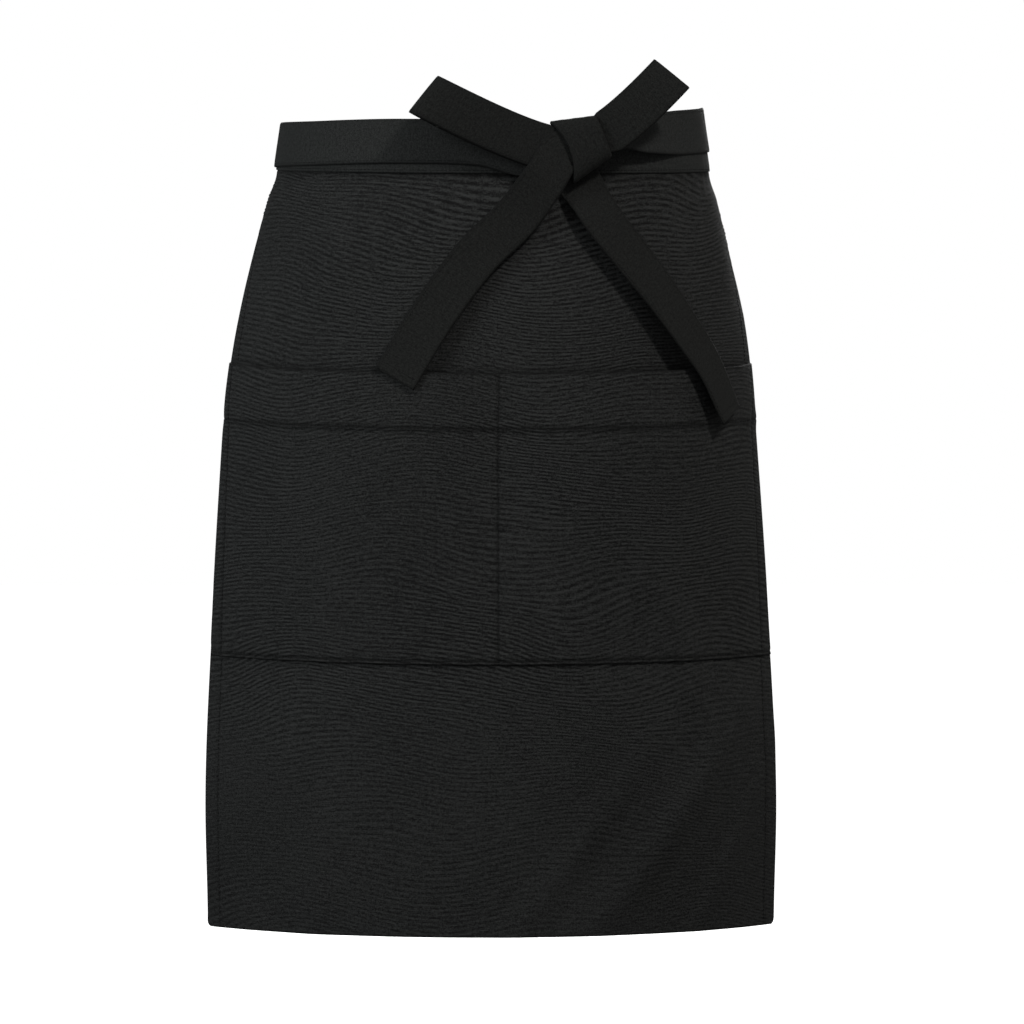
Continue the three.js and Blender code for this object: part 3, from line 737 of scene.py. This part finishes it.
# The knot, loops and tails are the ties' own tape, given darker colours than the ties and band as a painted shade.
BOW_SHADED_BLACK = (0.0026, 0.0028, 0.0026)
BOW_SHADED_WORN = (0.0138, 0.0143, 0.0135)
KNOT_CUT = 6.0
shaded_bow_cloth = cloth_material("black_bow_tape_painted_shade", BOW_SHADED_BLACK, BOW_SHADED_WORN, 0.0021, 0.12, 0.0008, 0.01)
knot_along = np.array([math.cos(KNOT_TURN), 0, math.sin(KNOT_TURN)])
knot_high = np.array([-math.sin(KNOT_TURN), 0, math.cos(KNOT_TURN)])
FORWARD = np.array([0.0, -1.0, 0.0])
sleeve_half = TAPE_WIDTH / 2
tape_layer = TAPE + BOW_LAYER
tie_layer, loop_back, tail_layer = (n * tape_layer for n in (-2, -0.5, 1.5))


def skirt_behind(x, z):
    """The skirt's point and outward direction behind a point of the front view."""
    down = 0.0
    for _ in range(6):
        section = section_at(down)
        angle = np.array([math.asin(np.clip(x / section[0], -1, 1))])
        point, outward = on_section(section, angle, down)
        down += point[0][2] - z
    return point[0], outward[0]


behind_knot = skirt_behind(KNOT_ACROSS - TAPE_WIDTH * 0.7, 0)[0][1] - band_half - GAP - TAPE / 2
knot_middle = np.array([
    KNOT_ACROSS,
    behind_knot - TAPE / 2 - GAP - KNOT_DEPTH / 2,
    KNOT_UP - WAIST_TILT,
])


def on_knot(along, layer, high=0.0):
    return knot_middle + knot_along * along + FORWARD * layer + knot_high * high


def knot_ring(along, shrink):
    """A cross-section of the wrap, with lengthwise pleats and rolled edges."""
    share = along / sleeve_half
    left = (KNOT_HEIGHT_LEFT + KNOT_HEIGHT_RIGHT) / 2
    taper = (KNOT_HEIGHT_RIGHT - KNOT_HEIGHT_LEFT) / 2
    high = (left + taper * share) / 2 - shrink
    deep = KNOT_DEPTH / 2 * (1 - KNOT_BELLY * share**2) - shrink
    rows = []
    for turn in np.linspace(0, 2 * math.pi, 120, endpoint=False):
        c, s = math.cos(turn), math.sin(turn)
        up = high * np.sign(c) * abs(c) ** (2 / 3)
        layer = deep * np.sign(s) * abs(s) ** (2 / 3)
        if shrink == 0:
            pleat = math.sin(along * 0.62 + 0.9 * math.sin(turn + 0.6)) * 0.2
            pleat += math.sin(along * 1.35 + 1.4 * math.sin(turn * 2)) * 0.08
            rolled = -0.9 * max(0, abs(share) - 0.94) / 0.06
            layer += (pleat + rolled) * s
            up += (0.4 * pleat + rolled) * c
        cut = KNOT_CUT * max(-share, 0) ** 2 * max(1 - (up / high) ** 2, 0)
        rows.append(on_knot(along + cut, layer, up))
    return np.array(rows)


knot_places = np.concatenate([[-1, -0.97], np.linspace(-0.93, 0.93, 34), [0.97, 1]]) * sleeve_half
knot_rings = [knot_ring(place, 0) for place in knot_places]
knot_rings += [knot_ring(place, KNOT_WALL) for place in knot_places[::-1]]
knot_rings.append(knot_rings[0])
knot_girths = np.linspace(0, 2.1 * (KNOT_HEIGHT_LEFT + KNOT_DEPTH), 120)
knot_points, knot_faces, knot_uvs = ring_mesh(
    knot_rings, [*knot_places, *knot_places[::-1], -sleeve_half], knot_girths, closed_ends=False
)
first = len(knot_girths)
last = len(knot_rings) - 1
knot_faces = [
    tuple(v - last * first if v >= last * first else v for v in reversed(face)) for face in knot_faces
]
knot = mesh_piece(
    "bow_knot_wrap", knot_points[: last * first], knot_faces, knot_uvs[: last * first], shaded_bow_cloth
)
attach(knot, "root")
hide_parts("bow_knot")

# Ties: two long tapes, each sewn to one end of the band. They cross to the far side
# round the back, side by side there, come over the band to the front and go into the
# knot. The tape is doubled canvas, pressed flat and stitched along both edges.
BACK_SPACING = 2.0
BACK_UPPER = -0.1
BACK_LOWER = BACK_UPPER - (TAPE_WIDTH + BACK_SPACING) / TAPE_WIDTH
EDGE_STITCH = 2.4
# around, up, lane, knot, width: the columns of both ties
RIGHT_TIE = np.array([
    (100, 0, 0, 0, 1),
    (110, 0, 0, 0, 1),
    (126, -0.5, 0, 0, 1),
    (150, BACK_LOWER, 0, 0, 1),
    (210, BACK_LOWER, 1, 0, 1),
    (236, -0.5, 1, 0, 1),
    (256, -0.02, 1, 0, 1),
    (270, 0.06, 1, 0, 1),
    (300, 0.12, 1, 0, 1),
    (335, 0.2, 1, 0, 1),
    (356, 0.15, 1, 0.1, 1),
    (366, -0.08, 1, 0.6, 1),
    (375, -0.11, 1, 1, 0.97),
    (378.3, -0.04, 1, 1, 0.9),
])
LEFT_TIE = np.array([
    (100, 0, 0, 0, 1),
    (110, 0, 0, 0, 1),
    (126, -0.04, 0, 0, 1),
    (150, BACK_UPPER, 0, 0, 1),
    (210, BACK_UPPER, 1, 0, 1),
    (240, 0.2, 1, 0, 1),
    (270, 0.44, 1, 0, 1),
    (300, 0.4, 1, 0, 1),
    (318, 0.34, 1, 0.3, 0.85),
    (325, 0.32, 1, 0.62, 0.66),
    (332, 0.265, 1, 1, 0.6),
    (335, 0.2, 1, 1, 0.6),
])


def unit(v):
    return v / np.linalg.norm(v, axis=-1, keepdims=True)


def tape_directions(middles, outs):
    """Upward and outward directions of a tape along its middle line."""
    along = unit(np.gradient(middles, axis=0))
    up = unit(np.cross(outs, along))
    return up, unit(np.cross(along, up)), along


def tape_profile():
    """The tape's section: across as a share of half the width, out in millimetres."""
    front = []
    for across in np.linspace(-1, 1, 27):
        edge = TAPE_WIDTH / 2 * (1 - abs(across))
        sunk = 0.12 * math.exp(-(((edge - EDGE_STITCH) / 0.8) ** 2)) * (across < 0)
        rounded = 0.45 * math.exp(-edge / 0.35)
        front.append((across, TAPE / 2 - sunk - rounded))
    return front + [(-across, -out) for across, out in front]


profile = tape_profile()


def tape_piece(name, middles, ups, outs, widths, slack=0.12, seed=0.0, cloth=shaded_bow_cloth):
    """A tape as one closed mesh, with its cloth coordinates along it."""
    steps = np.linalg.norm(np.diff(middles, axis=0), axis=1)
    lengths = np.concatenate([[0], np.cumsum(steps)])
    rings = []
    for middle, up, out, width, length in zip(middles, ups, outs, widths, lengths):
        gathered = 1 - width / TAPE_WIDTH
        ring = []
        for across, layer in profile:
            wave = slack * math.sin(length / 17 + across * 1.3 + seed)
            wave += 0.5 * slack * math.sin(length / 6.3 + across * 2.7 + seed * 2)
            wave += 1.6 * gathered * math.sin(across * 9 + seed)
            ring.append(middle + up * across * width / 2 + out * (layer + wave))
        rings.append(np.array(ring))
    girths = [across * TAPE_WIDTH / 2 for across, _ in profile]
    # Painted shade: the tape's points at and near its edges are darker, where the edges turn away from the light.
    edges = [0.45 if abs(across) > 0.99 else 0.8 if abs(across) > 0.9 else 1 for across, _ in profile]
    shades = np.tile(edges, len(rings))
    piece = mesh_piece(name, *ring_mesh(rings, lengths, girths), cloth, shades)
    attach(piece, "root")
    return piece, lengths[-1]


def tie_line(rows, side):
    """Middle line, directions and widths of a tie from its sewn end to the knot."""
    band_end = math.degrees(np.interp(PANEL_WIDTH / 2 + GAP * 2, waist[5], waist[4]))
    places = np.linspace(band_end, rows[-1, 0], 300)
    read = np.array([[read_table(rows, c, place) for c in (1, 2, 3, 4)] for place in places])
    over_band = band_half + GAP + TAPE / 2
    middles, outs = waist_ring(side * places, TAPE_WIDTH * read[:, 0], read[:, 1] * over_band)
    entering = read[:, 2]
    face = knot_middle[1] - tie_layer
    middles[:, 1] += (face - middles[:, 1]) * entering
    outs = unit(outs * (1 - entering)[:, None] + FORWARD * entering[:, None])
    outs = unit(outs + np.array([0, 0, WAIST_LEAN]))
    ups, outs, _ = tape_directions(middles, outs)
    ups[0] = ups[1]
    return middles, ups, outs, TAPE_WIDTH * read[:, 3]


tie_lines = {"tie_left": tie_line(LEFT_TIE, -1), "tie_right": tie_line(RIGHT_TIE, 1)}
for node, seed in (("tie_left", 1.0), ("tie_right", 2.3)):
    tie, length = tape_piece(f"{node}_tape", *tie_lines[node], slack=0.08, seed=seed, cloth=tape_cloth)
    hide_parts(node)

# Loops: each tie goes out of the knot, turns back over itself in a flat loop and comes
# back into the knot. The left one lies low over the band and the right one stands up.
LOOP_FULLNESS = 5.0
LOOPS = {
    "bow_loop_left": {"reach": 124, "angle": 163, "root": 31, "gather": 0.25, "lean": 8, "skew": 12},
    "bow_loop_right": {"reach": 85.8, "angle": 38.6, "root": 28, "gather": 0.3, "lean": -9, "skew": -4},
}


def loop_line(reach, angle, root, gather, lean, skew):
    """Middle line, directions and widths round a loop."""
    angle = math.radians(angle)
    side = 1 if math.cos(angle) > 0 else -1
    start = on_knot(side * sleeve_half / 2, 0)
    bend = on_knot(side * sleeve_half * 1.7, 0)
    tip = knot_middle + reach * np.array([math.cos(angle), 0, math.sin(angle)])
    middles, ups, widths = [], [], []
    for turn in np.linspace(0, math.pi, 130):
        out = math.sin(turn)
        share = out**1.25
        along = unit(2 * (1 - share) * (bend - start) + 2 * share * (tip - bend))
        up = unit(np.cross(along, FORWARD)) * -side
        swell = LOOP_FULLNESS * 1.5 * math.sin(2 * turn) * out**2
        layer = math.cos(turn) * loop_back - swell + lean * share**2
        line = (1 - share) ** 2 * start + 2 * (1 - share) * share * bend + share**2 * tip
        middles.append(line + FORWARD * layer)
        ups.append(up + along * math.tan(math.radians(skew)) * share * side)
        f = float(np.clip((share - gather / 3) / (gather * 2 / 3), 0, 1))
        widths.append(root + (TAPE_WIDTH - root) * f * f * (3 - 2 * f))
    middles, ups = np.array(middles), np.array(ups)
    outs = unit(np.cross(np.gradient(middles, axis=0), ups))
    return middles, ups, outs, np.array(widths)


loop_lines = {node: loop_line(**sizes) for node, sizes in LOOPS.items()}
for node, seed in (("bow_loop_left", 0.4), ("bow_loop_right", 1.9)):
    loop, length = tape_piece(f"{node}_tape", *loop_lines[node], slack=0.1, seed=seed)
    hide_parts(node)

# Tails: the free ends of the two ties, cut square and turned in. The left one comes
# out of the knot over the left loop. The right one comes out from behind the knot and
# stands off the skirt along its left edge.
TAIL_GATHER = 0.95
TAIL_TILT = math.radians(10)
LEFT_TAIL = (-140.3, 174.8)
RIGHT_TAIL = (114.6, 200.5)
RIGHT_TAIL_START = (-0.056, 0.106)
# across, down, proud: shares of a tail's reach, and of the knot's depth
LEFT_ROUTE = (
    (0.205, 0.148, 1.12),
    (0.352, 0.309, 0.62),
    (0.565, 0.478, 0.56),
    (0.792, 0.724, 0.64),
    (1, 1, 0.78),
)
RIGHT_ROUTE = (
    (0.044, 0.192, 0.45),
    (0.135, 0.273, 0.55),
    (0.361, 0.434, 0.6),
    (0.525, 0.551, 0.7),
    (0.695, 0.686, 0.82),
    (0.845, 0.811, 0.9),
    (1, 1, 0.94),
)


def smooth_through(points, count):
    """A centripetal curve through points, at evenly shared places."""
    points = np.array(points)
    padded = np.vstack([2 * points[0] - points[1], points, 2 * points[-1] - points[-2]])
    result = []
    for f in np.linspace(0, len(points) - 1, count):
        i = min(int(f), len(points) - 2)
        p0, p1, p2, p3 = padded[i : i + 4]
        t1 = np.linalg.norm(p1 - p0) ** 0.5 + 1e-9
        t2 = t1 + np.linalg.norm(p2 - p1) ** 0.5 + 1e-9
        t3 = t2 + np.linalg.norm(p3 - p2) ** 0.5 + 1e-9
        t = t1 + (t2 - t1) * (f - i)
        a1 = (t1 - t) / t1 * p0 + t / t1 * p1
        a2 = (t2 - t) / (t2 - t1) * p1 + (t - t1) / (t2 - t1) * p2
        a3 = (t3 - t) / (t3 - t2) * p2 + (t - t2) / (t3 - t2) * p3
        b1 = (t2 - t) / t2 * a1 + t / t2 * a2
        b2 = (t3 - t) / (t3 - t1) * a2 + (t - t1) / (t3 - t1) * a3
        result.append((t2 - t) / (t2 - t1) * b1 + (t - t1) / (t2 - t1) * b2)
    return np.array(result)


def tail_line(reach, route, start, tilt, gathered):
    """Middle line, directions and widths of a tail from the knot to its cut end."""
    middles, outs = list(start), [FORWARD] * len(start)
    for across, down, proud in route:
        x = knot_middle[0] + reach[0] * across
        z = knot_middle[2] - reach[1] * down
        point, out = skirt_behind(x, z)
        middles.append(np.array([x, point[1] + KNOT_DEPTH * proud / out[1], z]))
        outs.append(out)
    count = 150
    shares = np.linspace(0, 1, count)
    places = np.linspace(0, 1, len(outs))
    facing = unit(np.stack([np.interp(shares, places, np.array(outs)[:, c]) for c in range(3)], -1))
    line = smooth_through(middles, count)
    ups, flat, _ = tape_directions(line, facing)
    turn = (tilt * np.clip(shares * 5.5, 0, 1))[:, None]
    outs = flat * np.cos(turn) + ups * np.sin(turn)
    ups = ups * np.cos(turn) - flat * np.sin(turn)
    opening = 1 / (len(middles) - 1)
    f = np.clip((shares - 1.6 * opening) / (1.4 * opening), 0, 1)
    open_share = gathered + (1 - gathered) * f * f * (3 - 2 * f)
    return line, ups, outs, TAPE_WIDTH * open_share


right_start = np.array([
    knot_middle[0] + RIGHT_TAIL[0] * RIGHT_TAIL_START[0],
    behind_knot,
    knot_middle[2] - RIGHT_TAIL[1] * RIGHT_TAIL_START[1],
])
left_start = [on_knot(-sleeve_half / 2, tail_layer), on_knot(-sleeve_half, tail_layer + GAP * 4)]
tail_lines = {
    "bow_tail_left": tail_line(LEFT_TAIL, LEFT_ROUTE, left_start, 0, TAIL_GATHER),
    "bow_tail_right": tail_line(RIGHT_TAIL, RIGHT_ROUTE, [right_start], TAIL_TILT, 1),
}
for node, seed in (("bow_tail_left", 3.0), ("bow_tail_right", 0.2)):
    tail, length = tape_piece(f"{node}_tape", *tail_lines[node], slack=0.14, seed=seed)
    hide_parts(node)

# Stitching: rows of lockstitch in black polyester thread along the panel's side hems, the pocket's hem and
# seams, the waistband, one edge of each tape and the turned-in end of each tail. Each visible stitch is a
# short rounded length of thread sunk a little into the cloth.
STITCH_PITCH = 3.0
STITCH_LENGTH = 2.3
THREAD_RADIUS = 0.26
THREAD_BLACK = (0.002, 0.0021, 0.0021)
THREAD_WORN = (0.0085, 0.0088, 0.0086)
thread = cloth_material("black_thread", THREAD_BLACK, THREAD_WORN, 0.0009, 0.2, 0.0004, 0.02)
thread.node_tree.nodes["Principled BSDF"].inputs["Specular IOR Level"].default_value = 0.08


def stitch_mesh(line, outs):
    """Stitches along a line that lies on the cloth, with the cloth's outward side."""
    steps = np.linalg.norm(np.diff(line, axis=0), axis=1)
    lengths = np.concatenate([[0], np.cumsum(steps)])
    count = max(int(lengths[-1] / STITCH_PITCH), 1)
    centres = (np.arange(count) + 0.5) * lengths[-1] / count
    at = np.stack([np.interp(centres, lengths, line[:, c]) for c in range(3)], -1)
    ahead = np.stack([np.interp(centres + 0.5, lengths, line[:, c]) for c in range(3)], -1)
    behind = np.stack([np.interp(centres - 0.5, lengths, line[:, c]) for c in range(3)], -1)
    out = unit(np.stack([np.interp(centres, lengths, outs[:, c]) for c in range(3)], -1))
    along = unit(ahead - behind)
    aside = unit(np.cross(out, along))
    points, faces, uvs = [], [], []
    rings = ((-0.5, 0.35, -0.12), (-0.3, 0.95, 0.05), (0.3, 0.95, 0.05), (0.5, 0.35, -0.12))
    for k in range(count):
        base = k * 24
        for share, thick, lift in rings:
            for i in range(6):
                angle = i * math.pi / 3
                points.append(
                    at[k]
                    + along[k] * share * STITCH_LENGTH
                    + aside[k] * math.cos(angle) * thick * THREAD_RADIUS
                    + out[k] * (math.sin(angle) * thick * THREAD_RADIUS + lift)
                )
                uvs.append((i * 0.3, centres[k] + share * STITCH_LENGTH))
        for r in range(3):
            for i in range(6):
                a, b = base + r * 6 + i, base + r * 6 + (i + 1) % 6
                faces.append((a, a + 6, b + 6, b))
        faces.append(tuple(base + i for i in range(6)))
        faces.append(tuple(base + 18 + i for i in reversed(range(6))))
    return points, faces, uvs


def stitch_piece(name, rows):
    """All the rows of stitches of one seam or piece, as one mesh."""
    points, faces, uvs = [], [], []
    for line, outs in rows:
        more = stitch_mesh(line, outs)
        faces += [tuple(v + len(points) for v in face) for face in more[1]]
        points += list(more[0])
        uvs += more[2]
    piece = mesh_piece(name, points, faces, uvs, thread)
    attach(piece, "root")
    return piece


def cloth_line(surface, alongs, downs):
    """A line over a cloth's face, with outward directions, from places along and down."""
    points, outs = [], []
    for along, down in zip(alongs, downs):
        here = np.array([float(along)])
        points.append(surface(here, float(down))[0])
        outs.append(skirt_row(here, float(down), np.zeros(1))[1][0])
    return np.array(points) + np.array(outs) * 0.12, np.array(outs)


panel_falls = (
    np.linspace(3, POCKET_MOUTH - 2, 60),
    np.linspace(pocket_bottom + 2, SKIRT_DROP - 4, 80),
)
stitch_piece(
    "side_hem_stitches",
    [
        cloth_line(panel_outside, np.full_like(falls, side * side_stitch), falls)
        for side in (-1, 1)
        for falls in panel_falls
    ],
)
across = np.linspace(-pocket_half + 3, pocket_half - 3, 200)
falls = np.linspace(POCKET_MOUTH + 1.5, bottom_stitch, 90)
stitch_piece(
    "pocket_stitches",
    [
        cloth_line(pocket_outside, across, np.full_like(across, hem_stitch)),
        cloth_line(pocket_outside, across, np.full_like(across, bottom_stitch)),
        cloth_line(pocket_outside, np.zeros_like(falls), falls),
        cloth_line(pocket_outside, np.full_like(falls, side_stitch), falls),
        cloth_line(pocket_outside, np.full_like(falls, -side_stitch), falls),
    ],
)
band_row = np.linspace(-PANEL_WIDTH / 2 + 2, PANEL_WIDTH / 2 - 2, 220)
band_degrees = np.degrees(np.interp(np.abs(band_row), waist[5], waist[4])) * np.sign(band_row)
band_line, band_outs = waist_ring(band_degrees, band_edge_stitch, np.full_like(band_row, band_half - 0.15))
stitch_piece("waistband_stitches", [(band_line, band_outs)])


def tape_edge_rows(line):
    """A row of stitches along the open edge of a tape."""
    middles, ups, outs, widths = line
    rows = []
    inward = (widths / 2 * (1 - EDGE_STITCH / (TAPE_WIDTH / 2)))[:, None]
    rows.append((middles - ups * inward + outs * (TAPE / 2 - 0.15), outs))
    return rows


for label, lines in (("tie", tie_lines), ("bow_loop", loop_lines), ("bow_tail", tail_lines)):
    rows = [row for line in lines.values() for row in tape_edge_rows(line)]
    if label == "bow_tail":
        for middles, ups, outs, widths in lines.values():
            end = np.linspace(-0.8, 0.8, 20)[:, None] * widths[-1] / 2
            hem = middles[-4] + ups[-4] * end + outs[-4] * (TAPE / 2)
            rows.append((hem, np.repeat(outs[-4:-3], 20, axis=0)))
    stitch_piece(f"{label}_stitches", rows)
